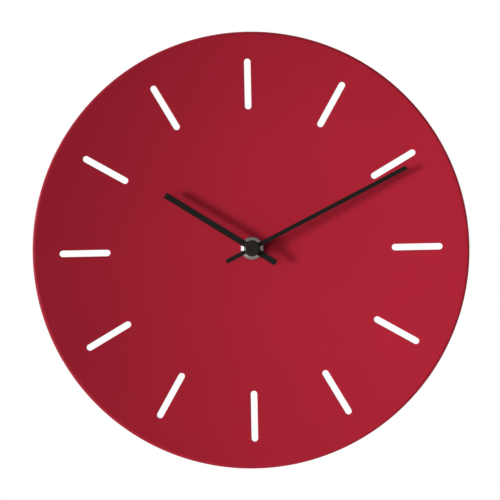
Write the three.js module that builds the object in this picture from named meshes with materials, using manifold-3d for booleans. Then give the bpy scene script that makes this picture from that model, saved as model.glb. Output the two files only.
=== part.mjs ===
// A quartz wall clock: a shallow pressed-steel dish for a dial, two baton hands, and a
// battery movement clamped behind it, built piece by piece.
//
// Frame: millimetres. The hands turn about the Y axis. +Z points at twelve o'clock and +X at
// three o'clock as the viewer sees it. The wall is the plane y = 0, and the viewer looks along
// +Y. A "depth" below is a distance from the wall towards the viewer, so y = -depth.

import * as THREE from "three";
import { mergeVertices } from "three/addons/utils/BufferGeometryUtils.js";
import Module from "manifold-3d";

const wasm = await Module();
wasm.setup();

// ---------------------------------------------------------------- Driving dimensions, in mm

const ROUND_STEPS = 20; // sides of a small round piece
const DEGREE = Math.PI / 180;

// Dial: one sheet, pressed to a shallow bowl, with its edge rolled back.
const DIAL_RADIUS = 127.5;
const SHEET = 1.2;
const SEAT_RADIUS = 9; // the flat in the middle that the movement clamps
const BOWL_SLOPE = 6 * DEGREE; // how steep the bowl is where it meets the lip
const LIP_RADIUS = 1.8; // outside of the rolled edge
const SKIRT = 2.4; // straight part behind the rolled edge
const DIAL_STEPS = 60;
const BOWL_STEPS = 4;
const LIP_STEPS = 3;
const DIAL_HOLE = 5.4; // generous, so the dial hangs down on the bush by the next two values
const DIAL_DROP = 1.0;
const DIAL_SHIFT = -0.6;

// The twelve hour marks are slots cut right through the dial.
const MARK_COUNT = 12;
const MARK_MIDDLE = 97;
const MARK_LENGTH = 29.4;
const MARK_WIDTH = 3.75;

// Movement case.
const CASE_SIZE = 56;
const CASE_CORNER = 3;
const CASE_DEPTH = 16.5;
const WALL = 1.2;
const COVER = 1.2; // thickness of the rear cover
const BAY_TOP = -10.1; // the battery bay lies below this height
const BAY_FLOOR = 15.7; // depth of the bay's floor
const INNER = CASE_SIZE / 2 - WALL;

// The stack on the bush, from the case forward.
const HANGER_SHEET = 0.8;
const RUBBER_WASHER = 0.7;
const METAL_WASHER = 0.5;
const NUT = 2.5;
const NUT_RADIUS = 6.4;
const SEAT_BACK = CASE_DEPTH + HANGER_SHEET + RUBBER_WASHER;
const SEAT_FRONT = SEAT_BACK + SHEET;
const NUT_BACK = SEAT_FRONT + METAL_WASHER;
const NUT_FRONT = NUT_BACK + NUT;
const BUSH_RADIUS = 4;
const BUSH_BORE = 3.15;
const BUSH_FRONT = NUT_FRONT + 4.2;

// Hands. Heights are above the dial's flat seat.
const HAND_SHEET = 0.6;
const HOUR_DEPTH = SEAT_FRONT + 10.6;
const HOUR_TIP = 59.2;
const HOUR_TAIL = 16.3;
const HOUR_WIDTH = 3.5;
const HOUR_ANGLE = 302.65 * DEGREE; // clockwise from twelve, at rest
const MINUTE_DEPTH = SEAT_FRONT + 12.6;
const MINUTE_TIP = 101;
const MINUTE_TAIL = 16.9;
const MINUTE_WIDTH = 2.5;
const MINUTE_ANGLE = 63.5 * DEGREE;
const CAP_RADIUS = 4.75;
const CAP_HEIGHT = 2.6;
const CAP_ROUND = 1.3; // radius of its front edge

// Concentric tubes and arbors through the bush.
const HOUR_TUBE = 2.9;
const HOUR_TUBE_BORE = 2.2;
const MINUTE_TUBE = 1.9;
const MINUTE_TUBE_BORE = 0.8;
const SECONDS_ARBOR = 0.5;
const CENTRE_SEAT = 1.5; // the minute arbor's radius where the centre wheel grips it

// Gears: module, then tooth counts. Teeth are slim, so each pair runs with backlash.
const ADDENDUM = 0.85;
const DEDENDUM = 1.2;
const ROOT_WIDTH = 1.45;
const TIP_WIDTH = 0.5;
const MOTION = { module: 0.32, cannon: 12, wheel: 36, knob: 12 };
const HOUR_GEARS = { pinion: 10, wheel: 40 };
const CENTRE_GEARS = { module: 0.26, pinion: 8, wheel: 64 };
const THIRD_GEARS = { pinion: 8, wheel: 60 };
const SECONDS_GEARS = { module: 0.26, pinion: 12, wheel: 60 };
const ROTOR_GEARS = { module: 0.26, pinion: 8, wheel: 48 };

// Depth of each gear layer, back then front. Pinions are a little longer than their wheels.
const ROTOR_LAYER = [3.0, 3.8];
const SECONDS_LAYER = [5.0, 5.7];
const THIRD_LAYER = [6.9, 7.6];
const CENTRE_LAYER = [10.7, 11.4];
const MOTION_LAYER = [12.0, 12.8];
const HOUR_LAYER = [13.6, 14.4];
const PINION_EXTRA = 0.2;
const ARBOR_BACK = 1.6;
const PLATE_LAYER = [9.2, 10.2]; // the train plate
const CASE_INSIDE = CASE_DEPTH - WALL;

// The stepping motor.
const STATOR_LAYER = [5.6, 6.6];
const MAGNET_LAYER = [4.9, 7.3];
const MAGNET_RADIUS = 2.5;
const STATOR_HOLE = 3.1;
const CORE_LAYER = [4.6, 5.6];
const COIL_HEIGHT = 22.8; // height of the coil's axis above the hands' axis
const COIL_MIDDLE = -2;
const COIL_LENGTH = 16.6;
const COIL_RADIUS = 3.2;

// Battery: one AA cell, lying across the bottom of the case.
const CELL_RADIUS = 7.25;
const CELL_BACK_END = -24.1;
const CELL_SHOULDER = 25.1;
const CELL_NUB_END = 26.2;
const CELL_NUB = 2.75;
const CELL_HEIGHT = -18.45;
const CELL_DEPTH = 8.4;

// Wall hanger.
const HANGER_WIDTH = 20;
const HANGER_FOOT = -9.5;
const HANGER_STEP = 29.9;
const HANGER_TOP = 47;
const HANGER_BACK = 1.6; // depth of the middle of the tab that lies near the wall
const EYE_HEIGHT = 40;
const EYE_WIDTH = 12;
const EYE_TALL = 6.5;

// ---------------------------------------------------------------- Where each axis stands

// A point at a distance and an angle from another, in the plane of the dial. Angles here run
// anticlockwise from +X as the viewer sees it.
function fromPoint([x, z], distance, degrees) {
  const angle = degrees * DEGREE;
  return [x + distance * Math.cos(angle), z + distance * Math.sin(angle)];
}

function spacing(module, teethA, teethB) {
  return (module * (teethA + teethB)) / 2;
}

const MOTION_SPACING = spacing(MOTION.module, MOTION.cannon, MOTION.wheel);
const HOUR_MODULE = (2 * MOTION_SPACING) / (HOUR_GEARS.pinion + HOUR_GEARS.wheel);
const THIRD_SPACING = spacing(CENTRE_GEARS.module, CENTRE_GEARS.pinion, CENTRE_GEARS.wheel);
const THIRD_MODULE = (2 * THIRD_SPACING) / (THIRD_GEARS.pinion + THIRD_GEARS.wheel);
const STEP_SPACING = spacing(SECONDS_GEARS.module, SECONDS_GEARS.pinion, SECONDS_GEARS.wheel);
const ROTOR_SPACING = spacing(ROTOR_GEARS.module, ROTOR_GEARS.pinion, ROTOR_GEARS.wheel);
const KNOB_SPACING = spacing(MOTION.module, MOTION.wheel, MOTION.knob);

const MOTION_DIRECTION = 35;
const THIRD_DIRECTION = 160;
const STEP_DIRECTION = 90;
const ROTOR_DIRECTION = 110;

const CENTRE_AXIS = [0, 0];
const MOTION_AXIS = fromPoint(CENTRE_AXIS, MOTION_SPACING, MOTION_DIRECTION);
const KNOB_AXIS = fromPoint(MOTION_AXIS, KNOB_SPACING, MOTION_DIRECTION);
const THIRD_AXIS = fromPoint(CENTRE_AXIS, THIRD_SPACING, THIRD_DIRECTION);
const STEP_AXIS = fromPoint(CENTRE_AXIS, STEP_SPACING, STEP_DIRECTION);
const ROTOR_AXIS = fromPoint(STEP_AXIS, ROTOR_SPACING, ROTOR_DIRECTION);

// ---------------------------------------------------------------- Shapes

// A closed geometry as a solid that can be joined and cut.
function solidOf(geometry) {
  const loose = geometry.index ? geometry.toNonIndexed() : geometry.clone();
  loose.deleteAttribute("normal");
  loose.deleteAttribute("uv");
  const merged = mergeVertices(loose, 1e-4);
  const index = merged.index.array;
  const corners = [];
  for (let i = 0; i < index.length; i += 3) {
    const [a, b, c] = index.slice(i, i + 3);
    if (a !== b && b !== c && c !== a) corners.push(a, b, c);
  }
  const build = (order) =>
    new wasm.Manifold(
      new wasm.Mesh({
        numProp: 3,
        vertProperties: merged.attributes.position.array,
        triVerts: new Uint32Array(order),
      }),
    );
  const solid = build(corners);
  return solid.volume() < 0 ? build(corners.reverse()) : solid;
}

function geometryOf(solid) {
  const mesh = solid.getMesh();
  const geometry = new THREE.BufferGeometry();
  geometry.setAttribute("position", new THREE.BufferAttribute(mesh.vertProperties, 3));
  geometry.setIndex(new THREE.BufferAttribute(mesh.triVerts, 1));
  const faceted = geometry.toNonIndexed();
  faceted.computeVertexNormals();
  return faceted;
}

function joined(...solids) {
  return solids.reduce((whole, solid) => whole.add(solid));
}

// A flat piece that fills an outline drawn as the viewer sees it, from one depth to another.
function plate(outline, back, front, curveSegments = 4) {
  const geometry = new THREE.ExtrudeGeometry(outline, {
    depth: front - back,
    bevelEnabled: false,
    curveSegments,
  });
  geometry.rotateX(Math.PI / 2);
  geometry.translate(0, -back, 0);
  return solidOf(geometry);
}

// A turned piece about the Y axis. The profile is a list of [radius, depth].
function turned(profile, steps = ROUND_STEPS) {
  const points = profile.map(([radius, depth]) => new THREE.Vector2(radius, -depth));
  return solidOf(new THREE.LatheGeometry(points, steps));
}

function ring(inner, outer, back, front, steps = ROUND_STEPS) {
  const profile = [
    [inner, back],
    [outer, back],
    [outer, front],
    [inner, front],
    [inner, back],
  ];
  return turned(profile, steps);
}

function rod(radius, back, front, [x, z] = CENTRE_AXIS, steps = ROUND_STEPS) {
  const geometry = new THREE.CylinderGeometry(radius, radius, front - back, steps);
  geometry.translate(x, -(back + front) / 2, z);
  return solidOf(geometry);
}

// A rod that lies along X or stands along Z, centred on a point given as [across, depth].
function crossRod(radius, [start, end], [across, depth], axis, steps = 32) {
  const geometry = new THREE.CylinderGeometry(radius, radius, end - start, steps);
  geometry.translate(0, (start + end) / 2, 0);
  if (axis === "x") {
    geometry.rotateZ(-Math.PI / 2);
    geometry.translate(0, -depth, across);
  } else {
    geometry.rotateX(Math.PI / 2);
    geometry.translate(across, -depth, 0);
  }
  return solidOf(geometry);
}

function block([left, right], [low, high], back, front) {
  const geometry = new THREE.BoxGeometry(right - left, front - back, high - low);
  geometry.translate((left + right) / 2, -(back + front) / 2, (low + high) / 2);
  return solidOf(geometry);
}

function roundedRectangle([left, right], [low, high], corner) {
  const shape = new THREE.Shape();
  shape.absarc(right - corner, high - corner, corner, 0, Math.PI / 2);
  shape.absarc(left + corner, high - corner, corner, Math.PI / 2, Math.PI);
  shape.absarc(left + corner, low + corner, corner, Math.PI, 1.5 * Math.PI);
  shape.absarc(right - corner, low + corner, corner, 1.5 * Math.PI, 2 * Math.PI);
  shape.closePath();
  return shape;
}

// A rectangle with two round ends, turned anticlockwise about its own middle.
function obround(x, z, length, width, angle) {
  const half = (length - width) / 2;
  const ends = [
    [x + half * Math.cos(angle), z + half * Math.sin(angle)],
    [x - half * Math.cos(angle), z - half * Math.sin(angle)],
  ];
  const shape = new THREE.Shape();
  shape.absarc(...ends[0], width / 2, angle - Math.PI / 2, angle + Math.PI / 2);
  shape.absarc(...ends[1], width / 2, angle + Math.PI / 2, angle + 1.5 * Math.PI);
  shape.closePath();
  return shape;
}

// The outline of a gear whose first tooth points along +X. Teeth taper from root to tip.
function gearOutline(teeth, module) {
  const pitch = (teeth * module) / 2;
  const root = pitch - DEDENDUM * module;
  const tip = pitch + ADDENDUM * module;
  const rootHalf = (ROOT_WIDTH * module) / 2 / root;
  const tipHalf = (TIP_WIDTH * module) / 2 / tip;
  const points = [];
  for (let tooth = 0; tooth < teeth; tooth++) {
    const middle = (2 * Math.PI * tooth) / teeth;
    const corners = [
      [root, middle - rootHalf],
      [tip, middle - tipHalf],
      [tip, middle + tipHalf],
      [root, middle + rootHalf],
    ];
    for (const [radius, angle] of corners) {
      points.push(new THREE.Vector2(radius * Math.cos(angle), radius * Math.sin(angle)));
    }
  }
  return new THREE.Shape(points);
}

function gear(teeth, module, [back, front]) {
  return plate(gearOutline(teeth, module), back, front);
}

function pinion(teeth, module, [back, front]) {
  return gear(teeth, module, [back - PINION_EXTRA, front + PINION_EXTRA]);
}

// The phase of a gear that meshes with one already placed: where the first gear has a tooth on
// the line of centres, the second has a space. Phases and the direction are in radians.
function meshPhase(phase, teeth, nextTeeth, degrees) {
  const direction = degrees * DEGREE;
  const lead = (phase - direction) * (teeth / nextTeeth);
  return direction + Math.PI + Math.PI / nextTeeth - lead;
}

// A sheet strip bent along a path of [across, up] points, with rounded bends. It's drawn as an
// outline: out along one side of the path and back along the other.
function stripOutline(path, thickness, bend) {
  const line = [];
  path.forEach(([across, up], i) => {
    const here = new THREE.Vector2(across, up);
    if (i === 0 || i === path.length - 1) {
      line.push(here);
      return;
    }
    const before = new THREE.Vector2(...path[i - 1]).sub(here).normalize();
    const after = new THREE.Vector2(...path[i + 1]).sub(here).normalize();
    const curve = new THREE.QuadraticBezierCurve(
      here.clone().addScaledVector(before, bend),
      here,
      here.clone().addScaledVector(after, bend),
    );
    line.push(...curve.getPoints(3));
  });
  const side = (sign) =>
    line.map((point, i) => {
      const ahead = line[Math.min(i + 1, line.length - 1)];
      const behind = line[Math.max(i - 1, 0)];
      const along = ahead.clone().sub(behind).normalize();
      const across = new THREE.Vector2(-along.y, along.x);
      return point.clone().addScaledVector(across, (sign * thickness) / 2);
    });
  return new THREE.Shape([...side(1), ...side(-1).reverse()]);
}

// ---------------------------------------------------------------- Materials

function finish(color, roughness, metalness = 0) {
  return () => new THREE.MeshStandardMaterial({ color, roughness, metalness });
}

const redPaint = finish(0xa82238, 0.45);
const blackPaint = finish(0x1f1d1b, 0.5);
const nickel = finish(0xc9c8c2, 0.25, 1);
const steel = finish(0x9b9fa3, 0.4, 1);
const brass = finish(0xb8964f, 0.35, 1);
const copper = finish(0xa85a32, 0.35, 1);
const rubber = finish(0x161616, 0.85);
const blackPlastic = finish(0x1b1b1d, 0.5);
const whitePlastic = finish(0xe8e6df, 0.45);
const bluePlastic = finish(0x3f6fa8, 0.45);
const magnetGrey = finish(0x4a4a4e, 0.5, 0.6);
const boardGreen = finish(0x2f6b3d, 0.5);
const epoxy = finish(0x101012, 0.35);
const cellSleeve = finish(0x3b4c5c, 0.35);

// ---------------------------------------------------------------- Scene

const clock = new THREE.Group();
clock.name = "wall_clock";

// One named piece. Its first tooth, or its blade, is turned by an anticlockwise phase.
function place(name, solid, material, [x, z] = CENTRE_AXIS, phase = 0) {
  const mesh = new THREE.Mesh(geometryOf(solid), material());
  mesh.name = name;
  mesh.position.set(x, 0, z);
  mesh.rotation.y = -phase;
  clock.add(mesh);
}

// ---------------------------------------------------------------- Dial

// One face of the pressed sheet, from the hole out over the bowl and the rolled edge. The front
// face has an inset of 0 and the back face one of the sheet's thickness.
function sheetFace(inset) {
  const edge = DIAL_RADIUS - LIP_RADIUS * (1 + Math.sin(BOWL_SLOPE));
  const bowlRadius = (edge - SEAT_RADIUS) / Math.sin(BOWL_SLOPE);
  const bowlCentre = SEAT_FRONT + bowlRadius;
  const face = [[DIAL_HOLE, SEAT_FRONT - inset]];
  for (let i = 0; i <= BOWL_STEPS; i++) {
    const angle = (BOWL_SLOPE * i) / BOWL_STEPS;
    const reach = bowlRadius + inset;
    face.push([SEAT_RADIUS + reach * Math.sin(angle), bowlCentre - reach * Math.cos(angle)]);
  }
  const lipCentre = [
    edge + LIP_RADIUS * Math.sin(BOWL_SLOPE),
    bowlCentre - (bowlRadius + LIP_RADIUS) * Math.cos(BOWL_SLOPE),
  ];
  const turn = Math.PI / 2 + BOWL_SLOPE;
  for (let i = 1; i <= LIP_STEPS; i++) {
    const angle = turn * (1 - i / LIP_STEPS);
    const reach = LIP_RADIUS - inset;
    face.push([lipCentre[0] + reach * Math.cos(angle), lipCentre[1] + reach * Math.sin(angle)]);
  }
  face.push([lipCentre[0] + LIP_RADIUS - inset, lipCentre[1] - SKIRT]);
  return face;
}

function dialDish() {
  const front = sheetFace(0);
  const back = sheetFace(SHEET).reverse();
  let dish = turned([...front, ...back, front[0]], DIAL_STEPS);
  for (let hour = 0; hour < MARK_COUNT; hour++) {
    const angle = Math.PI / 2 - (2 * Math.PI * hour) / MARK_COUNT;
    const x = MARK_MIDDLE * Math.cos(angle);
    const z = MARK_MIDDLE * Math.sin(angle);
    const slot = obround(x, z, MARK_LENGTH, MARK_WIDTH, angle);
    dish = dish.subtract(plate(slot, CASE_DEPTH, MINUTE_DEPTH));
  }
  return dish;
}

place("dial_dish", dialDish(), redPaint, [DIAL_SHIFT, -DIAL_DROP]);

// ---------------------------------------------------------------- Hands

// A straight baton along +X with square ends, a round boss and a short collar behind it.
function hand({ tip, tail, width, boss, bore, depth, collar }) {
  const back = depth - HAND_SHEET / 2;
  const front = depth + HAND_SHEET / 2;
  const blade = block([-tail, tip], [-width / 2, width / 2], back, front);
  const hub = rod(boss, back, front);
  const neck = rod(bore + 0.6, back - collar, front);
  return joined(blade, hub, neck).subtract(rod(bore, back - collar - 1, front + 1));
}

const hourHand = hand({
  tip: HOUR_TIP,
  tail: HOUR_TAIL,
  width: HOUR_WIDTH,
  boss: 4.3,
  bore: HOUR_TUBE + 0.1,
  depth: HOUR_DEPTH,
  collar: 1.6,
});
const minuteHand = hand({
  tip: MINUTE_TIP,
  tail: MINUTE_TAIL,
  width: MINUTE_WIDTH,
  boss: 3.9,
  bore: MINUTE_TUBE + 0.1,
  depth: MINUTE_DEPTH,
  collar: 0.4,
});
const hourPhase = Math.PI / 2 - HOUR_ANGLE;
const minutePhase = Math.PI / 2 - MINUTE_ANGLE;
place("hour_hand", hourHand, blackPaint, CENTRE_AXIS, hourPhase);
place("minute_hand", minuteHand, blackPaint, CENTRE_AXIS, minutePhase);

// The closed, round-edged cap that holds the minute hand on.
function minuteCap() {
  const back = MINUTE_DEPTH + HAND_SHEET / 2;
  const front = back + CAP_HEIGHT;
  const boreFloor = back + 1.5;
  const edge = [0, 30, 60, 90].map((angle) => [
    CAP_RADIUS - CAP_ROUND * (1 - Math.cos(angle * DEGREE)),
    front - CAP_ROUND * (1 - Math.sin(angle * DEGREE)),
  ]);
  const profile = [
    [MINUTE_TUBE + 0.1, back],
    [CAP_RADIUS, back],
    ...edge,
    [0, front],
    [0, boreFloor],
    [MINUTE_TUBE + 0.1, boreFloor],
    [MINUTE_TUBE + 0.1, back],
  ];
  return turned(profile);
}

place("minute_hand_cap", minuteCap(), blackPaint);

// ---------------------------------------------------------------- Clamping stack

function roundNut() {
  const bore = BUSH_RADIUS + 0.2;
  const profile = [
    [bore, NUT_BACK],
    [NUT_RADIUS, NUT_BACK],
    [NUT_RADIUS, NUT_FRONT - 1],
    [BUSH_RADIUS + 0.6, NUT_FRONT],
    [bore, NUT_FRONT],
    [bore, NUT_BACK],
  ];
  return turned(profile, 36);
}

function threadedBush() {
  const flange = 6;
  const flangeBack = CASE_INSIDE - 0.6;
  const profile = [
    [BUSH_BORE, flangeBack],
    [flange, flangeBack],
    [flange, CASE_INSIDE],
    [BUSH_RADIUS, CASE_INSIDE],
    [BUSH_RADIUS, BUSH_FRONT],
    [BUSH_BORE, BUSH_FRONT],
    [BUSH_BORE, flangeBack],
  ];
  return turned(profile);
}

// A bent strip: flat behind the dial, back over the top of the case, then up near the wall.
function wallHanger() {
  const front = CASE_DEPTH + HANGER_SHEET / 2;
  const path = [
    [HANGER_FOOT, front],
    [HANGER_STEP, front],
    [HANGER_STEP, HANGER_BACK],
    [HANGER_TOP, HANGER_BACK],
  ];
  const geometry = new THREE.ExtrudeGeometry(stripOutline(path, HANGER_SHEET, 1.5), {
    depth: HANGER_WIDTH,
    bevelEnabled: false,
  });
  // The outline's first axis becomes height and its second becomes depth.
  const turn = new THREE.Matrix4();
  turn.makeBasis(
    new THREE.Vector3(0, 0, 1),
    new THREE.Vector3(0, -1, 0),
    new THREE.Vector3(1, 0, 0),
  );
  geometry.applyMatrix4(turn);
  geometry.translate(-HANGER_WIDTH / 2, 0, 0);
  const half = HANGER_WIDTH / 2;
  const outline = roundedRectangle([-half, half], [HANGER_FOOT, HANGER_TOP], 5);
  const eye = obround(0, EYE_HEIGHT, EYE_WIDTH, EYE_TALL, 0);
  return solidOf(geometry)
    .intersect(plate(outline, -1, CASE_DEPTH + 3))
    .subtract(plate(eye, -1, 5))
    .subtract(rod(BUSH_RADIUS + 0.3, CASE_DEPTH - 1, CASE_DEPTH + 3));
}

place("round_nut", roundNut(), nickel);
place("dial_washer", ring(BUSH_RADIUS + 0.2, 6.7, SEAT_FRONT, NUT_BACK, 36), nickel);
place("rubber_washer", ring(BUSH_RADIUS + 0.3, 8, SEAT_BACK - RUBBER_WASHER, SEAT_BACK), rubber);
place("wall_hanger", wallHanger(), steel);
place("threaded_bush", threadedBush(), brass);

// ---------------------------------------------------------------- Movement case

const PILLARS = [
  [-24, -6.2],
  [24, -6.2],
  [-24, 24],
  [24, 24],
];
const TAIL_NOTCH = [26.1, INNER]; // where a battery contact passes the bay's wall
const CONTACT_LAYER = [5.4, 8.3];
const CRADLE = { middles: [-14, 14], thickness: 1.2, back: 10.5, radius: CELL_RADIUS + 0.35 };
const THUMB_NOTCH = { radius: 9, depth: -3.5 };

// Four hooks on the rear cover snap into windows in the sides of the case.
const SNAP_HEIGHTS = [1.5, 15];
const SNAP = { width: 5, inner: 25.7, outer: 26.5, hook: 27.4, hookLayer: [3.6, 5.2], front: 5.6 };

function caseOutline() {
  const half = CASE_SIZE / 2;
  return roundedRectangle([-half, half], [-half, half], CASE_CORNER);
}

// A blind bearing: a short boss with a hole that opens away from the wall it stands on.
function bearing(axis, hole, root, mouth) {
  const outer = rod(hole + 0.9, Math.min(root, mouth), Math.max(root, mouth), axis, 16);
  const direction = Math.sign(mouth - root);
  const bottom = root + direction * 0.4;
  const open = mouth + direction;
  const bore = rod(hole, Math.min(bottom, open), Math.max(bottom, open), axis, 12);
  return { outer, bore };
}

// Two thin walls across the battery bay, hollowed to the shape of the cell.
function cradle(x) {
  const half = CRADLE.thickness / 2;
  const wall = block([x - half, x + half], [-INNER - 0.3, BAY_TOP + 0.3], CRADLE.back, BAY_FLOOR + 0.3);
  const cell = crossRod(CRADLE.radius, [x - 2, x + 2], [CELL_HEIGHT, CELL_DEPTH], "x");
  return wall.subtract(cell);
}

function mirroredRange(low, high, side) {
  return [side * low, side * high].sort((a, b) => a - b);
}

function snapWindow(side, height) {
  const reach = SNAP.width / 2 + 0.3;
  const across = mirroredRange(INNER - 1, CASE_SIZE / 2 + 1, side);
  const [back, front] = SNAP.hookLayer;
  return block(across, [height - reach, height + reach], back - 0.2, front + 0.2);
}

function movementCase() {
  const half = CASE_SIZE / 2;
  let shell = plate(caseOutline(), 0, CASE_DEPTH);
  shell = shell.subtract(block([-half - 1, half + 1], [BAY_TOP, half + 1], -1, COVER));
  shell = shell.subtract(block([-INNER, INNER], [BAY_TOP + WALL, INNER], 0, CASE_INSIDE));
  shell = shell.subtract(block([-INNER, INNER], [-INNER, BAY_TOP], -1, BAY_FLOOR));
  for (const x of CRADLE.middles) {
    shell = shell.add(cradle(x));
  }
  const notch = [0, THUMB_NOTCH.depth];
  shell = shell.subtract(crossRod(THUMB_NOTCH.radius, [-half - 1, 1 - half - WALL], notch, "z"));
  for (const pillar of PILLARS) {
    shell = shell.add(rod(1.6, PLATE_LAYER[1], CASE_INSIDE + 0.2, pillar, 12));
  }
  shell = shell.add(rod(0.8, CENTRE_LAYER[1] + 0.25, CASE_INSIDE + 0.2, MOTION_AXIS, 16));
  const knobBearing = bearing(KNOB_AXIS, 1.3, CASE_INSIDE + 0.2, 13.4);
  const thirdBearing = bearing(THIRD_AXIS, 0.5, CASE_INSIDE + 0.2, 12.2);
  shell = joined(shell, knobBearing.outer, thirdBearing.outer);
  shell = shell.subtract(knobBearing.bore).subtract(thirdBearing.bore);
  for (const side of [-1, 1]) {
    const passage = mirroredRange(...TAIL_NOTCH, side);
    const layer = [CONTACT_LAYER[0] - 0.4, CONTACT_LAYER[1] + 0.4];
    shell = shell.subtract(block(passage, [BAY_TOP - 1, BAY_TOP + WALL + 1], ...layer));
    for (const height of SNAP_HEIGHTS) {
      shell = shell.subtract(snapWindow(side, height));
    }
  }
  return shell.subtract(rod(BUSH_RADIUS + 0.2, CASE_INSIDE - 1, CASE_DEPTH + 1));
}

const KNOB_RADIUS = 4.9;

function snapHook(side, height) {
  const [low, high] = [height - SNAP.width / 2, height + SNAP.width / 2];
  const leg = block(mirroredRange(SNAP.inner, SNAP.outer, side), [low, high], COVER - 0.2, SNAP.front);
  const hook = block(mirroredRange(SNAP.inner, SNAP.hook, side), [low, high], ...SNAP.hookLayer);
  return leg.add(hook);
}

// The lid over the train. It ends above the battery bay, which stays open.
function rearCover() {
  const half = CASE_SIZE / 2;
  let cover = plate(caseOutline(), 0, COVER);
  cover = cover.subtract(block([-half - 1, half + 1], [-half - 1, BAY_TOP + 0.2], -1, COVER + 1));
  cover = cover.subtract(rod(KNOB_RADIUS + 0.4, -1, COVER + 1, KNOB_AXIS));
  for (const side of [-1, 1]) {
    for (const height of SNAP_HEIGHTS) {
      cover = cover.add(snapHook(side, height));
    }
  }
  for (const axis of [CENTRE_AXIS, THIRD_AXIS, STEP_AXIS, ROTOR_AXIS]) {
    const { outer, bore } = bearing(axis, 0.5, COVER - 0.2, 2.4);
    cover = cover.add(outer).subtract(bore);
  }
  return cover;
}

// The plate that carries the train, the motor and the circuit board.
function trainPlate() {
  const [back, front] = PLATE_LAYER;
  const outline = roundedRectangle([-25.6, 25.6], [-7.6, 25.6], 2);
  let sheet = plate(outline, back, front);
  const posts = [
    [-12.9, 14],
    [8.9, 14],
  ];
  for (const post of posts) {
    sheet = sheet.add(rod(1.2, STATOR_LAYER[1], back + 0.2, post, 12));
  }
  const holes = [
    [CENTRE_AXIS, 0.75],
    [THIRD_AXIS, 1.8],
    [STEP_AXIS, 0.5],
    [ROTOR_AXIS, 0.5],
    [KNOB_AXIS, 1.5],
  ];
  for (const [axis, radius] of holes) {
    sheet = sheet.subtract(rod(radius, back - 1, front + 1, axis, 16));
  }
  return sheet;
}

place("movement_case", movementCase(), blackPlastic);
place("rear_cover", rearCover(), blackPlastic);
place("train_plate", trainPlate(), whitePlastic);

// ---------------------------------------------------------------- Gear train

const rotorPhase = 0.2;
const stepPhase = meshPhase(
  rotorPhase,
  ROTOR_GEARS.pinion,
  ROTOR_GEARS.wheel,
  ROTOR_DIRECTION + 180,
);
const secondsPhase = meshPhase(
  stepPhase,
  SECONDS_GEARS.pinion,
  SECONDS_GEARS.wheel,
  STEP_DIRECTION + 180,
);
const thirdPhase = meshPhase(
  secondsPhase,
  THIRD_GEARS.pinion,
  THIRD_GEARS.wheel,
  THIRD_DIRECTION,
);
const centrePhase = meshPhase(
  thirdPhase,
  CENTRE_GEARS.pinion,
  CENTRE_GEARS.wheel,
  THIRD_DIRECTION + 180,
);
const motionPhase = meshPhase(minutePhase, MOTION.cannon, MOTION.wheel, MOTION_DIRECTION);
const knobPhase = meshPhase(motionPhase, MOTION.wheel, MOTION.knob, MOTION_DIRECTION);
const hourWheelPhase = meshPhase(
  motionPhase,
  HOUR_GEARS.pinion,
  HOUR_GEARS.wheel,
  MOTION_DIRECTION + 180,
);

// The motor's magnet turns this hub, and its pinion drives the step wheel.
function rotorHub() {
  const pivots = rod(0.4, ARBOR_BACK, 9.8, CENTRE_AXIS, 12);
  const body = rod(0.9, ROTOR_LAYER[1] + PINION_EXTRA / 2, MAGNET_LAYER[1] + 0.6);
  const collar = rod(1.6, MAGNET_LAYER[1] + 0.1, MAGNET_LAYER[1] + 0.7);
  return joined(pivots, body, collar, pinion(ROTOR_GEARS.pinion, ROTOR_GEARS.module, ROTOR_LAYER));
}

function stepWheel() {
  const arbor = rod(0.6, ROTOR_LAYER[1], 8.8, CENTRE_AXIS, 12);
  const pivots = rod(0.4, ARBOR_BACK, 9.8, CENTRE_AXIS, 12);
  const wheel = gear(ROTOR_GEARS.wheel, ROTOR_GEARS.module, ROTOR_LAYER);
  const driver = pinion(SECONDS_GEARS.pinion, SECONDS_GEARS.module, SECONDS_LAYER);
  return joined(arbor, pivots, wheel, driver);
}

function secondsWheel() {
  const arbor = rod(SECONDS_ARBOR, 2.6, MINUTE_DEPTH - 1, CENTRE_AXIS, 12);
  const pivot = rod(0.4, ARBOR_BACK, 3, CENTRE_AXIS, 12);
  const wheel = gear(SECONDS_GEARS.wheel, SECONDS_GEARS.module, SECONDS_LAYER);
  const driver = pinion(THIRD_GEARS.pinion, THIRD_MODULE, THIRD_LAYER);
  return joined(arbor, pivot, wheel, driver);
}

function thirdWheel() {
  const arbor = rod(0.6, 2.8, CENTRE_LAYER[0], CENTRE_AXIS, 12);
  const pivots = rod(0.4, ARBOR_BACK, 13, CENTRE_AXIS, 12);
  const wheel = gear(THIRD_GEARS.wheel, THIRD_MODULE, THIRD_LAYER);
  const driver = pinion(CENTRE_GEARS.pinion, CENTRE_GEARS.module, CENTRE_LAYER);
  return joined(arbor, pivots, wheel, driver);
}

// The centre wheel grips the minute arbor by friction, so the hands can be set.
function centreWheel() {
  const wheel = gear(CENTRE_GEARS.wheel, CENTRE_GEARS.module, CENTRE_LAYER);
  const bore = rod(CENTRE_SEAT + 0.1, CENTRE_LAYER[0] - 1, CENTRE_LAYER[1] + 1);
  return wheel.subtract(bore);
}

// The tube that carries the minute hand, with the cannon pinion cut on its back end.
function minuteArbor() {
  const back = CENTRE_LAYER[0] - 0.2;
  const step = MOTION_LAYER[1] + 0.2;
  const front = MINUTE_DEPTH + HAND_SHEET / 2 + 1.3;
  const seat = rod(CENTRE_SEAT, back, step + 0.1);
  const tube = rod(MINUTE_TUBE, step, front);
  const cannon = gear(MOTION.cannon, MOTION.module, MOTION_LAYER);
  return joined(seat, tube, cannon).subtract(rod(MINUTE_TUBE_BORE, back - 1, front + 1));
}

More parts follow.
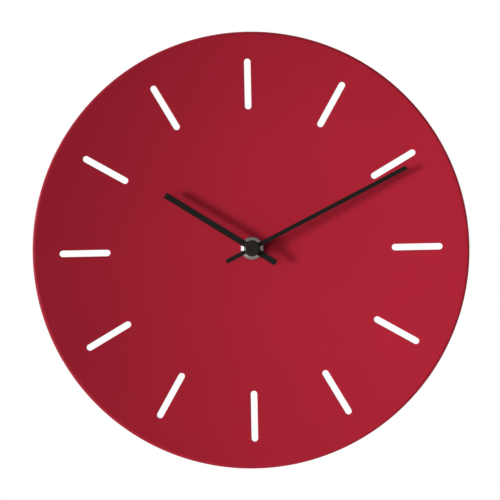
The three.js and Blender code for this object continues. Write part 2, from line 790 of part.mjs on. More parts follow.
function motionWheel() {
  const wheel = gear(MOTION.wheel, MOTION.module, MOTION_LAYER);
  const driver = pinion(HOUR_GEARS.pinion, HOUR_MODULE, HOUR_LAYER);
  const hub = rod(1.15, MOTION_LAYER[0], HOUR_LAYER[1], CENTRE_AXIS, 16);
  return joined(wheel, hub, driver).subtract(rod(0.92, 10, CASE_INSIDE, CENTRE_AXIS, 16));
}

function hourWheel() {
  const front = HOUR_DEPTH + HAND_SHEET / 2 + 0.2;
  const wheel = gear(HOUR_GEARS.wheel, HOUR_MODULE, HOUR_LAYER);
  const tube = rod(HOUR_TUBE, HOUR_LAYER[0], front);
  return joined(wheel, tube).subtract(rod(HOUR_TUBE_BORE, HOUR_LAYER[0] - 1, front + 1));
}

// The knob set into the rear cover. Its shaft reaches forward to turn the motion wheel.
function settingKnob() {
  const ridges = 24;
  const points = [];
  for (let i = 0; i < 2 * ridges; i++) {
    const angle = (Math.PI * i) / ridges;
    const radius = i % 2 ? KNOB_RADIUS - 0.35 : KNOB_RADIUS;
    points.push(new THREE.Vector2(radius * Math.cos(angle), radius * Math.sin(angle)));
  }
  const grip = plate(new THREE.Shape(points), 0.3, 1.9);
  const shaft = rod(1.2, 1.8, 14.6, CENTRE_AXIS, 16);
  return joined(grip, shaft, gear(MOTION.knob, MOTION.module, MOTION_LAYER));
}

place("rotor_pinion", rotorHub(), whitePlastic, ROTOR_AXIS, rotorPhase);
place("rotor_magnet", ring(1, MAGNET_RADIUS, ...MAGNET_LAYER), magnetGrey, ROTOR_AXIS);
place("step_wheel", stepWheel(), whitePlastic, STEP_AXIS, stepPhase);
place("seconds_wheel", secondsWheel(), whitePlastic, CENTRE_AXIS, secondsPhase);
place("third_wheel", thirdWheel(), whitePlastic, THIRD_AXIS, thirdPhase);
place("centre_wheel", centreWheel(), whitePlastic, CENTRE_AXIS, centrePhase);
place("minute_arbor", minuteArbor(), brass, CENTRE_AXIS, minutePhase);
place("motion_wheel", motionWheel(), bluePlastic, MOTION_AXIS, motionPhase);
place("hour_wheel", hourWheel(), whitePlastic, CENTRE_AXIS, hourWheelPhase);
place("setting_knob", settingKnob(), blackPlastic, KNOB_AXIS, knobPhase);

// ---------------------------------------------------------------- Stepping motor

const STATOR_SIDES = [-14.5, 10.5];
const STATOR_LEG = 3.6;
const LEG_TOP = 25.4;

// The stator's plate round the rotor, with a leg up to each end of the coil's core.
function stator() {
  const [left, right] = STATOR_SIDES;
  const yoke = block([left, right], [12.4, 19.2], ...STATOR_LAYER);
  const leftLeg = block([left, left + STATOR_LEG], [12.4, LEG_TOP], ...STATOR_LAYER);
  const rightLeg = block([right - STATOR_LEG, right], [12.4, LEG_TOP], ...STATOR_LAYER);
  const [back, front] = STATOR_LAYER;
  const hole = rod(STATOR_HOLE, back - 1, front + 1, ROTOR_AXIS);
  return joined(yoke, leftLeg, rightLeg).subtract(hole);
}

// A round piece that lies along X, centred on the coil's axis.
function alongCoil(profile, steps = ROUND_STEPS) {
  const points = profile.map(([radius, x]) => new THREE.Vector2(radius, x));
  const geometry = new THREE.LatheGeometry(points, steps);
  geometry.rotateZ(-Math.PI / 2);
  geometry.translate(COIL_MIDDLE, -(CORE_LAYER[0] + CORE_LAYER[1]) / 2, COIL_HEIGHT);
  return solidOf(geometry);
}

function coilBobbin() {
  const half = COIL_LENGTH / 2;
  const flange = 0.8;
  const spool = alongCoil([
    [0, -half],
    [COIL_RADIUS + 0.3, -half],
    [COIL_RADIUS + 0.3, flange - half],
    [1.7, flange - half],
    [1.7, half - flange],
    [COIL_RADIUS + 0.3, half - flange],
    [COIL_RADIUS + 0.3, half],
    [0, half],
  ]);
  const [left, right] = STATOR_SIDES;
  const [back, front] = CORE_LAYER;
  const passage = [COIL_HEIGHT - 1.2, COIL_HEIGHT + 1.2];
  return spool.subtract(block([left, right], passage, back - 0.1, front + 0.1));
}

function coilWinding() {
  const half = COIL_LENGTH / 2 - 0.9;
  return alongCoil([
    [1.8, -half],
    [COIL_RADIUS, -half],
    [COIL_RADIUS, half],
    [1.8, half],
    [1.8, -half],
  ]);
}

function coilCore() {
  const height = [COIL_HEIGHT - 1.1, COIL_HEIGHT + 1.1];
  const [left, right] = STATOR_SIDES;
  const bar = block([left + 0.2, right - 0.2], height, ...CORE_LAYER);
  const tall = [COIL_HEIGHT - 2.2, LEG_TOP - 0.2];
  const leftPad = block([left + 0.2, left + STATOR_LEG - 0.4], tall, ...CORE_LAYER);
  const rightPad = block([right - STATOR_LEG + 0.4, right - 0.2], tall, ...CORE_LAYER);
  return joined(bar, leftPad, rightPad);
}

place("stator", stator(), steel);
place("coil_core", coilCore(), steel);
place("coil_bobbin", coilBobbin(), blackPlastic);
place("coil_winding", coilWinding(), copper);

// ---------------------------------------------------------------- Circuit board and battery

const BOARD_BACK = PLATE_LAYER[0] - 0.8;

function chipBlob() {
  const dome = [
    [0, BOARD_BACK],
    [2.6, BOARD_BACK],
    [2.3, BOARD_BACK - 0.6],
    [1.3, BOARD_BACK - 1.1],
    [0, BOARD_BACK - 1.2],
  ];
  return turned(dome, 20);
}

// The crystal's metal can, lying on the board with its length up the board.
function quartzCrystal() {
  const profile = [
    [0, 0],
    [0.9, 0],
    [1, 0.2],
    [1, 5.8],
    [0.8, 6],
    [0, 6],
  ];
  const points = profile.map(([radius, up]) => new THREE.Vector2(radius, up));
  const geometry = new THREE.LatheGeometry(points, 16);
  geometry.rotateX(Math.PI / 2);
  geometry.translate(0, 1 - BOARD_BACK, 0);
  return solidOf(geometry);
}

// The leaf spring that presses on the flat end of the cell.
function negativeContact() {
  const path = [
    [-25.9, -13],
    [-24.35, -18.5],
    [-25.5, -24.6],
    [-26.5, -24.6],
    [-26.5, -5],
    [-22.5, -5],
  ];
  return plate(stripOutline(path, 0.3, 0.35), ...CONTACT_LAYER);
}

// The strip behind the cell's nub runs along the top of the bay to the circuit board.
function positiveContact() {
  const path = [
    [26.5, -24.6],
    [26.5, -8.5],
    [-20.5, -8.5],
    [-20.5, -5],
  ];
  return plate(stripOutline(path, 0.3, 0.35), ...CONTACT_LAYER);
}

function batteryCell() {
  const profile = [
    [0, CELL_BACK_END],
    [CELL_RADIUS - 0.5, CELL_BACK_END],
    [CELL_RADIUS, CELL_BACK_END + 0.5],
    [CELL_RADIUS, CELL_SHOULDER - 0.5],
    [CELL_RADIUS - 0.5, CELL_SHOULDER],
    [CELL_NUB, CELL_SHOULDER],
    [CELL_NUB, CELL_NUB_END],
    [0, CELL_NUB_END],
  ];
  const points = profile.map(([radius, x]) => new THREE.Vector2(radius, x));
  const geometry = new THREE.LatheGeometry(points, 32);
  geometry.rotateZ(-Math.PI / 2);
  geometry.translate(0, -CELL_DEPTH, 0);
  return solidOf(geometry);
}

const board = roundedRectangle([-25.4, -18.2], [-8, 20], 0.6);
place("circuit_board", plate(board, BOARD_BACK, PLATE_LAYER[0]), boardGreen);
place("chip_blob", chipBlob(), epoxy, [-21.8, 2]);
place("quartz_crystal", quartzCrystal(), nickel, [-21.8, 9]);
place("negative_contact", negativeContact(), nickel);
place("positive_contact", positiveContact(), nickel);
place("battery_cell", batteryCell(), cellSleeve, [0, CELL_HEIGHT]);

export default clock;
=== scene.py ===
"""Quartz wall clock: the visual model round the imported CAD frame, with its camera and lights.

Lengths are in millimetres until at() turns them into metres. A "depth" is a distance from the
wall plane towards the viewer, so y = -depth. +Z points at twelve o'clock, +X at three.
"""

import math

import bmesh
import bpy
from mathutils import Matrix, Vector


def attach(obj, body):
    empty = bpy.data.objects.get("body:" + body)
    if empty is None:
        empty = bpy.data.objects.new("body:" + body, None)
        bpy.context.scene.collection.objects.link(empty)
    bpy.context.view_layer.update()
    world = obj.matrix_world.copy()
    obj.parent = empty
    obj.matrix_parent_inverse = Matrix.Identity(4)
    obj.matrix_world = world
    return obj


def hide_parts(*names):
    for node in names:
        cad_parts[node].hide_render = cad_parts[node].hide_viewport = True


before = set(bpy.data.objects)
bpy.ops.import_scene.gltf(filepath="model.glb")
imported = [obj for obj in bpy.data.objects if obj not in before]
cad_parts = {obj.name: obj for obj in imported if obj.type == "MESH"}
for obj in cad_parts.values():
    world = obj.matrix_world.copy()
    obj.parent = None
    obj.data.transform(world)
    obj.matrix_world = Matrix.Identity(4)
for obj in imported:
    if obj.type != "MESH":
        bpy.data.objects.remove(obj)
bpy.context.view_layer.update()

MM = 0.001
TAU = 2 * math.pi


def at(x, depth, z):
    """A point in millimetres as a place in the row frame, in metres."""
    return Vector((x, -depth, z)) * MM


# ---------------------------------------------------------------- Camera

RIM_DEPTH = 25.3
VIEW_DISTANCE = 1000  # from the rim of the dial
AIM = (-1.216, -0.952)  # where the lens points, across and up from the hands' axis
ROLL = math.radians(1.17)

camera_data = bpy.data.cameras.new("camera")
camera_data.lens = 123.6
camera_data.sensor_width = 36
camera = bpy.data.objects.new("camera", camera_data)
camera.location = at(AIM[0], RIM_DEPTH + VIEW_DISTANCE, AIM[1])
camera.rotation_euler = (math.pi / 2, ROLL, 0)
bpy.context.collection.objects.link(camera)
bpy.context.scene.camera = camera


# ---------------------------------------------------------------- Sizes shared with the CAD

DIAL_RADIUS = 127.5
SHEET = 1.2
SEAT_RADIUS = 9
SEAT_FRONT = 19.2
BOWL_SLOPE = math.radians(6)
LIP_RADIUS = 1.8
SKIRT = 2.4
DIAL_HOLE = 5.4
DIAL_CENTRE = (-0.6, -1.0)
BOWL_EDGE = DIAL_RADIUS - LIP_RADIUS * (1 + math.sin(BOWL_SLOPE))
BOWL_RADIUS = (BOWL_EDGE - SEAT_RADIUS) / math.sin(BOWL_SLOPE)

MARK_COUNT = 12
MARK_MIDDLE = 97
MARK_LENGTH = 29.4
MARK_WIDTH = 3.75

CASE_SIZE = 56
CASE_DEPTH = 16.5
WALL = 1.2
COVER = 1.2
INNER = CASE_SIZE / 2 - WALL
BAY_TOP = -10.1
BAY_FLOOR = 15.7
CASE_INSIDE = CASE_DEPTH - WALL

BUSH_RADIUS = 4
BUSH_BORE = 3.15
BUSH_FRONT = 26.4
WASHER_FRONT = 19.7
NUT_FRONT = 22.2
NUT_RADIUS = 6.4

HAND_SHEET = 0.6
HOUR_DEPTH = 29.8
MINUTE_DEPTH = 31.8
HOUR_ANGLE = math.radians(90 - 302.65)  # anticlockwise from three o'clock
MINUTE_ANGLE = math.radians(90 - 63.5)

MOTION_SPACING = 0.32 * 48 / 2
KNOB_AXIS = tuple(2 * MOTION_SPACING * f(math.radians(35)) for f in (math.cos, math.sin))
KNOB_RADIUS = 4.9

CELL_RADIUS = 7.25
CELL_HEIGHT = -18.45
CELL_DEPTH = 8.4


# ---------------------------------------------------------------- Mesh making


class Skin:
    """A surface made of closed loops of (x, depth, z) points, joined by bands of quads."""

    def __init__(self):
        self.points = []
        self.faces = []

    def loop(self, points):
        start = len(self.points)
        self.points.extend(points)
        return list(range(start, len(self.points)))

    def band(self, first, second):
        count = len(first)
        for i in range(count):
            j = (i + 1) % count
            self.faces.append((first[i], first[j], second[j], second[i]))

    def wrap(self, loops, closed=False):
        rows = [self.loop(points) for points in loops]
        for first, second in zip(rows, rows[1:]):
            self.band(first, second)
        if closed:
            self.band(rows[-1], rows[0])
        return rows

    def object(self, name, crease=40):
        """The surface as an object with outward normals. Edges sharper than crease stay crisp."""
        mesh = bpy.data.meshes.new(name)
        mesh.from_pydata([at(*point) for point in self.points], [], self.faces)
        work = bmesh.new()
        work.from_mesh(mesh)
        bmesh.ops.remove_doubles(work, verts=work.verts, dist=2e-7)
        bmesh.ops.recalc_face_normals(work, faces=work.faces)
        work.to_mesh(mesh)
        work.free()
        made = bpy.data.objects.new(name, mesh)
        bpy.context.collection.objects.link(made)
        shade(made, crease)
        return made


def shade(thing, crease=40):
    thing.data.polygons.foreach_set("use_smooth", [True] * len(thing.data.polygons))
    thing.data.set_sharp_from_angle(angle=math.radians(crease))


def settle_normals(thing):
    """Wide flat faces keep their own direction and only the small faces between them blend."""
    normals = thing.modifiers.new("normals", "WEIGHTED_NORMAL")
    normals.keep_sharp = True


def rounded(points, closed=True, steps=4):
    """A path of (a, b) or (a, b, radius) corners, with an arc at each corner that has a radius."""
    path = []
    last = len(points) - 1
    for i, point in enumerate(points):
        corner = Vector(point[:2])
        if len(point) < 3 or (not closed and i in (0, last)):
            path.append(tuple(corner))
            continue
        before = (Vector(points[i - 1][:2]) - corner).normalized()
        after = (Vector(points[(i + 1) % len(points)][:2]) - corner).normalized()
        half = before.angle(after) / 2
        centre = corner + (before + after).normalized() * point[2] / math.sin(half)
        start = corner + before * point[2] / math.tan(half) - centre
        end = corner + after * point[2] / math.tan(half) - centre
        sweep = start.angle(end)
        for k in range(steps + 1):
            share = k / steps
            arm = start * math.sin((1 - share) * sweep) + end * math.sin(share * sweep)
            path.append(tuple(centre + arm / math.sin(sweep)))
    return path


def arc(centre, radius, start, end, steps):
    """Points on an arc, angles in radians, both ends included."""
    angles = [start + (end - start) * i / steps for i in range(steps + 1)]
    return [(centre[0] + radius * math.cos(a), centre[1] + radius * math.sin(a)) for a in angles]


def lathe(name, profile, steps=96, closed=False, centre=(0, 0), reshape=None, crease=40):
    """Turns a profile of (radius, depth) about a line along Y. reshape(radius, depth, angle)
    gives another radius, for knurls and threads."""
    skin = Skin()
    loops = []
    for radius, depth in profile:
        ring = []
        for i in range(steps):
            angle = TAU * i / steps
            reach = reshape(radius, depth, angle) if reshape else radius
            x = centre[0] + reach * math.cos(angle)
            z = centre[1] + reach * math.sin(angle)
            ring.append((x, depth, z))
        loops.append(ring)
    skin.wrap(loops, closed)
    return skin.object(name, crease)


def lay_along_x(thing, depth, height):
    """Turns a piece made about Y so that its depth runs along X, and moves it into place."""
    turn = Matrix(((0, -1, 0, 0), (-1, 0, 0, -depth * MM), (0, 0, 1, height * MM), (0, 0, 0, 1)))
    thing.data.transform(turn)
    if turn.determinant() < 0:
        thing.data.flip_normals()
    return thing


def inset(outline, distance):
    """The outline moved inwards. It runs anticlockwise as the viewer sees it."""
    moved = []
    for i, point in enumerate(outline):
        here = Vector(point)
        before = (here - Vector(outline[i - 1])).normalized()
        after = (Vector(outline[(i + 1) % len(outline)]) - here).normalized()
        inward = Vector((-before.y - after.y, before.x + after.x)).normalized()
        stretch = max(0.3, inward.dot(Vector((-before.y, before.x))))
        moved.append(tuple(here + inward * distance / stretch))
    return moved


def prism(name, outline, back, front, edge=0.0, steps=3):
    """A flat piece that fills an outline of (x, z) points, with both rims rounded by edge."""
    layers = []
    if edge:
        turns = [math.pi / 2 * i / steps for i in range(steps + 1)]
        for turn in turns:
            layers.append((edge * (1 - math.sin(turn)), back + edge * (1 - math.cos(turn))))
        for turn in reversed(turns):
            layers.append((edge * (1 - math.sin(turn)), front - edge * (1 - math.cos(turn))))
    else:
        layers = [(0, back), (0, front)]
    loops = [[(x, depth, z) for x, z in inset(outline, pull)] for pull, depth in layers]
    skin = Skin()
    rows = skin.wrap(loops)
    skin.faces.append(tuple(rows[0]))
    skin.faces.append(tuple(rows[-1]))
    return skin.object(name)


def box_outline(left, right, low, high, corner=0.0):
    corners = [(left, low), (right, low), (right, high), (left, high)]
    if corner:
        return rounded([(*point, corner) for point in corners], steps=8)
    return corners


def box(name, x, z, back, front, corner=0.0, edge=0.0):
    return prism(name, box_outline(*x, *z, corner), back, front, edge)


def disc(name, radius, back, front, centre=(0, 0), steps=48):
    return prism(name, arc(centre, radius, 0, TAU * (1 - 1 / steps), steps - 1), back, front)


def stadium(length, width, centre=(0, 0), angle=0.0, steps=12):
    """A rectangle with round ends, anticlockwise."""
    half = (length - width) / 2
    right = arc((half, 0), width / 2, -math.pi / 2, math.pi / 2, steps)
    left = arc((-half, 0), width / 2, math.pi / 2, 1.5 * math.pi, steps)
    turned = []
    for x, z in right + left:
        turned.append(
            (
                centre[0] + x * math.cos(angle) - z * math.sin(angle),
                centre[1] + x * math.sin(angle) + z * math.cos(angle),
            )
        )
    return turned


def apply_modifiers(thing):
    graph = bpy.context.evaluated_depsgraph_get()
    mesh = bpy.data.meshes.new_from_object(thing.evaluated_get(graph))
    old = thing.data
    thing.modifiers.clear()
    thing.data = mesh
    bpy.data.meshes.remove(old)


def combine(thing, operation, tools):
    """Cuts the tools from a piece, or joins them to it, and removes them."""
    for tool in tools:
        modifier = thing.modifiers.new("combine", "BOOLEAN")
        modifier.operation = operation
        modifier.solver = "EXACT"
        modifier.object = tool
    apply_modifiers(thing)
    for tool in tools:
        mesh = tool.data
        bpy.data.objects.remove(tool)
        bpy.data.meshes.remove(mesh)


def cut(thing, *tools):
    combine(thing, "DIFFERENCE", tools)


def join(thing, *tools):
    combine(thing, "UNION", tools)


def soften(thing, width, segments=2, angle=35):
    """Rounds the edges that are sharper than an angle."""
    bevel = thing.modifiers.new("soft_edges", "BEVEL")
    bevel.width = width * MM
    bevel.segments = segments
    bevel.limit_method = "ANGLE"
    bevel.angle_limit = math.radians(angle)
    bevel.miter_outer = "MITER_ARC"
    apply_modifiers(thing)
    shade(thing, 60)
    settle_normals(thing)


def piece(thing, body, slot, nodes, *materials):
    """Makes an object a piece of the clock: its materials, its body, the CAD nodes it stands for. The
    slot argument is not used.
    """
    for material in materials:
        thing.data.materials.append(material)
    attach(thing, body)
    if nodes:
        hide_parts(*nodes)
    return thing


# ---------------------------------------------------------------- Materials


class Finish:
    """A Principled material that is built up from patterns sized in millimetres."""

    def __init__(self, name, color, roughness, **sockets):
        self.material = bpy.data.materials.new(name)
        self.material.use_nodes = True
        self.nodes = self.material.node_tree.nodes
        self.links = self.material.node_tree.links
        self.shader = self.nodes["Principled BSDF"]
        self.shader.inputs["Base Color"].default_value = (*color, 1)
        self.shader.inputs["Roughness"].default_value = roughness
        for socket, value in sockets.items():
            self.shader.inputs[socket.replace("_", " ")].default_value = value
        self.color = color
        self.roughness = roughness
        self.place = self.nodes.new("ShaderNodeTexCoord").outputs["Object"]
        self.normal = None

    def noise(self, size, detail=2.0, stretch=(1, 1, 1)):
        """A noise whose blotches are about size millimetres across, longer where stretched."""
        mapping = self.nodes.new("ShaderNodeMapping")
        mapping.inputs["Scale"].default_value = [1 / (size * MM * s) for s in stretch]
        self.links.new(self.place, mapping.inputs["Vector"])
        texture = self.nodes.new("ShaderNodeTexNoise")
        texture.inputs["Scale"].default_value = 1
        texture.inputs["Detail"].default_value = detail
        self.links.new(mapping.outputs["Vector"], texture.inputs["Vector"])
        return texture.outputs["Fac"]

    def rings(self, spacing, axis="Y"):
        """Fine rings about an axis, as a lathe leaves them."""
        texture = self.nodes.new("ShaderNodeTexWave")
        texture.wave_type = "RINGS"
        texture.rings_direction = axis
        texture.inputs["Scale"].default_value = TAU / (20 * spacing * MM)
        texture.inputs["Distortion"].default_value = 0.4
        texture.inputs["Detail"].default_value = 2
        self.links.new(self.place, texture.inputs["Vector"])
        return texture.outputs["Fac"]

    def ranged(self, pattern, low, high):
        change = self.nodes.new("ShaderNodeMapRange")
        change.inputs["From Min"].default_value = 0.3
        change.inputs["From Max"].default_value = 0.7
        change.inputs["To Min"].default_value = low
        change.inputs["To Max"].default_value = high
        self.links.new(pattern, change.inputs["Value"])
        return change.outputs["Result"]

    def tone(self, pattern, other):
        """The colour drifts between its own value and another."""
        mix = self.nodes.new("ShaderNodeMix")
        mix.data_type = "RGBA"
        mix.inputs["A"].default_value = (*self.color, 1)
        mix.inputs["B"].default_value = (*other, 1)
        self.links.new(self.ranged(pattern, 0, 1), mix.inputs["Factor"])
        self.links.new(mix.outputs["Result"], self.shader.inputs["Base Color"])
        return self

    def shine(self, pattern, spread):
        """The roughness drifts by spread to both sides."""
        low, high = self.roughness - spread, self.roughness + spread
        self.links.new(self.ranged(pattern, low, high), self.shader.inputs["Roughness"])
        return self

    def relief(self, pattern, height):
        """Bumps of that height in millimetres, on top of those already there."""
        bump = self.nodes.new("ShaderNodeBump")
        bump.inputs["Strength"].default_value = 1
        bump.inputs["Distance"].default_value = height * MM
        self.links.new(pattern, bump.inputs["Height"])
        if self.normal:
            self.links.new(self.normal, bump.inputs["Normal"])
        self.normal = bump.outputs["Normal"]
        self.links.new(self.normal, self.shader.inputs["Normal"])
        return self


def scaled(color, factor):
    return tuple(channel * factor for channel in color)


def paint(name, color, roughness, peel=0.004, **sockets):
    """Sprayed satin paint: a faint orange peel, a slow drift in tone and fine dust."""
    made = Finish(name, color, roughness, **sockets)
    made.tone(made.noise(45, 3), scaled(color, 0.94))
    made.shine(made.noise(3, 4), 0.04)
    made.relief(made.noise(1.6, 2), peel)
    made.relief(made.noise(0.25, 1), peel / 8)
    return made.material


def moulded(name, color, roughness, grain=0.006, **sockets):
    """Moulded plastic with a fine spark-eroded texture."""
    made = Finish(name, color, roughness, **sockets)
    made.tone(made.noise(12, 3), scaled(color, 1.25))
    made.shine(made.noise(2, 3), 0.06)
    made.relief(made.noise(0.28, 2), grain)
    return made.material


def turned_metal(name, color, roughness, spacing=0.12, **sockets):
    """Plated or bare metal with the rings that turning leaves."""
    made = Finish(name, color, roughness, Metallic=1, **sockets)
    made.tone(made.noise(3, 4), scaled(color, 0.86))
    made.shine(made.noise(0.8, 3), 0.05)
    made.relief(made.rings(spacing), 0.0015)
    return made.material


def rolled_metal(name, color, roughness, along, **sockets):
    """Sheet metal: long fine streaks in the direction it was rolled, and cloudy plating."""
    made = Finish(name, color, roughness, Metallic=1, **sockets)
    made.tone(made.noise(5, 4), scaled(color, 0.82))
    made.shine(made.noise(0.35, 3, along), 0.1)
    made.relief(made.noise(0.15, 2, along), 0.0012)
    return made.material


RED = (0.415, 0.016, 0.0345)
BLACK = (0.0125, 0.0115, 0.0105)

dial_paint = paint("dial_paint", RED, 0.5, **{"Specular_IOR_Level": 0.1})
hand_paint = paint("hand_paint", BLACK, 0.38, peel=0.0015, **{"Specular_IOR_Level": 0.14})
cap_paint = paint("cap_gloss", BLACK, 0.2, peel=0.0008, **{"Specular_IOR_Level": 0.4})
nickel = turned_metal("nickel_plate", (0.58, 0.57, 0.54), 0.34)
washer_steel = turned_metal("washer_steel", (0.42, 0.42, 0.41), 0.3, spacing=0.2)
brass = turned_metal("brass", (0.62, 0.44, 0.18), 0.28)
zinc_steel = rolled_metal("zinc_steel", (0.56, 0.58, 0.6), 0.34, (1, 12, 12))
core_steel = rolled_metal("core_steel", (0.42, 0.42, 0.43), 0.42, (12, 1, 1))
contact_metal = rolled_metal("contact_nickel", (0.66, 0.64, 0.58), 0.26, (8, 1, 8))
case_plastic = moulded("case_plastic", (0.017, 0.017, 0.018), 0.48)
cover_plastic = moulded("cover_plastic", (0.02, 0.02, 0.021), 0.52, grain=0.009)
knob_plastic = moulded("knob_plastic", (0.03, 0.03, 0.032), 0.4, grain=0.003)
bobbin_plastic = moulded("bobbin_plastic", (0.02, 0.02, 0.022), 0.4)
white_plastic = moulded(
    "white_acetal",
    (0.74, 0.72, 0.67),
    0.38,
    grain=0.002,
    **{"Subsurface_Weight": 0.12, "Subsurface_Scale": 0.001},
)
blue_plastic = moulded("blue_acetal", (0.07, 0.19, 0.42), 0.38, grain=0.002)


def rubber_finish():
    made = Finish("rubber", (0.018, 0.018, 0.018), 0.78)
    made.tone(made.noise(2, 4), (0.032, 0.031, 0.03))
    made.relief(made.noise(0.2, 3), 0.01)
    return made.material


def ferrite_finish():
    made = Finish("ferrite", (0.06, 0.06, 0.064), 0.5, Metallic=0.7)
    made.tone(made.noise(0.3, 5), (0.1, 0.1, 0.105))
    made.relief(made.noise(0.12, 4), 0.006)
    return made.material


def copper_finish():
    """Enamelled wire: the turns themselves are in the mesh."""
    made = Finish("enamelled_wire", (0.56, 0.19, 0.07), 0.28, Metallic=0.9, **{"Coat_Weight": 0.5})
    made.tone(made.noise(0.9, 3, (1, 6, 6)), (0.44, 0.13, 0.045))
    made.shine(made.noise(0.5, 3), 0.06)
    return made.material


def laminate_finish():
    """Solder resist over copper tracks, which stand out a little."""
    made = Finish("circuit_laminate", (0.018, 0.13, 0.045), 0.34, **{"Coat_Weight": 0.4})
    tracks = made.nodes.new("ShaderNodeTexBrick")
    tracks.inputs["Scale"].default_value = 320
    tracks.inputs["Color1"].default_value = (1, 1, 1, 1)
    tracks.inputs["Color2"].default_value = (0.9, 0.9, 0.9, 1)
    tracks.inputs["Mortar"].default_value = (0, 0, 0, 1)
    made.links.new(made.place, tracks.inputs["Vector"])
    made.tone(tracks.outputs["Color"], (0.035, 0.22, 0.07))
    made.relief(tracks.outputs["Color"], 0.02)
    return made.material


def epoxy_finish():
    made = Finish("epoxy", (0.011, 0.011, 0.013), 0.24)
    made.tone(made.noise(1, 3), (0.02, 0.02, 0.022))
    made.relief(made.noise(0.7, 2), 0.03)
    return made.material


def sleeve_finish(name, color, flake):
    """Printed film shrunk on a can, with faint creases along it."""
    made = Finish(name, color, 0.3, **{"Coat_Weight": 0.35, "Coat_Roughness": 0.12})
    made.tone(made.noise(0.2, 2), flake)
    made.shine(made.noise(4, 3, (5, 1, 1)), 0.05)
    made.relief(made.noise(1.4, 2, (14, 1, 1)), 0.012)
    return made.material


rubber = rubber_finish()
ferrite = ferrite_finish()
copper = copper_finish()
laminate = laminate_finish()
epoxy = epoxy_finish()
sleeve_dark = sleeve_finish("sleeve_slate", (0.045, 0.075, 0.115), (0.06, 0.095, 0.14))
sleeve_light = sleeve_finish("sleeve_silver", (0.5, 0.52, 0.54), (0.42, 0.44, 0.46))


# ---------------------------------------------------------------- Dial


def bowl_point(x, z, drop):
    """A point of the pressed bowl, as far below its front face as drop says."""
    reach = math.hypot(x, z)
    slope = math.asin(max(0.0, reach - SEAT_RADIUS) / BOWL_RADIUS)
    depth = SEAT_FRONT + BOWL_RADIUS * (1 - math.cos(slope)) - drop * math.cos(slope)
    share = (reach + drop * math.sin(slope)) / reach
    return (x * share + DIAL_CENTRE[0], depth, z * share + DIAL_CENTRE[1])


def ring_on_bowl(radius, drop, steps):
    points = [
        (radius * math.cos(TAU * i / steps), radius * math.sin(TAU * i / steps)) for i in range(steps)
    ]
    return [bowl_point(x, z, drop) for x, z in points]


def spread(start, end, count):
    return [start + (end - start) * i / count for i in range(count + 1)]


def lip_path():
    """The rolled edge, from the front of the bowl's edge round to the back of it."""
    fall = BOWL_RADIUS * (1 - math.cos(BOWL_SLOPE))
    centre = (DIAL_RADIUS - LIP_RADIUS, SEAT_FRONT + fall - LIP_RADIUS * math.cos(BOWL_SLOPE))
    turn = math.pi / 2 + BOWL_SLOPE
    outside = arc(centre, LIP_RADIUS, turn, 0, 14)
    inside = arc(centre, LIP_RADIUS - SHEET, 0, turn, 8)
    end = centre[1] - SKIRT
    hem = rounded(
        [
            (DIAL_RADIUS, centre[1]),
            (DIAL_RADIUS, end, 0.4),
            (DIAL_RADIUS - SHEET, end, 0.4),
            (DIAL_RADIUS - SHEET, centre[1]),
        ],
        closed=False,
        steps=4,
    )
    return outside + hem[1:-1] + inside


def mark_rings(steps_along, steps_round):
    """One slot, pointing along +X: (x, z, outward x, outward z) round its edge, and the matching
    points round the twelfth of the dial that it lies in."""
    half = (MARK_LENGTH - MARK_WIDTH) / 2
    sector = math.pi / MARK_COUNT
    near, far = SLOT_ZONE
    edge, border = [], []
    for i in range(steps_round):
        angle = -math.pi / 2 + math.pi * i / steps_round
        edge.append((MARK_MIDDLE + half, 0, angle))
        border.append((far, -sector + 2 * sector * i / steps_round))
    for i in range(steps_along):
        share = i / steps_along
        edge.append((MARK_MIDDLE + half - 2 * half * share, 0, math.pi / 2))
        border.append((far + (near - far) * share, sector))
    for i in range(steps_round):
        angle = math.pi / 2 + math.pi * i / steps_round
        edge.append((MARK_MIDDLE - half, 0, angle))
        border.append((near, sector - 2 * sector * i / steps_round))
    for i in range(steps_along):
        share = i / steps_along
        edge.append((MARK_MIDDLE - half + 2 * half * share, 0, -math.pi / 2))
        border.append((near + (far - near) * share, -sector))
    walls = []
    for x, z, angle in edge:
        way = (math.cos(angle), math.sin(angle))
        walls.append((x + MARK_WIDTH / 2 * way[0], z + MARK_WIDTH / 2 * way[1], *way))
    around = [(radius * math.cos(angle), radius * math.sin(angle)) for radius, angle in border]
    return walls, around


SLOT_ZONE = (80, 114)
RING_STEPS = 240
FRONT_ROUND = 0.5  # the punched edge is rolled over on the front and crisp at the back
BACK_ROUND = 0.15


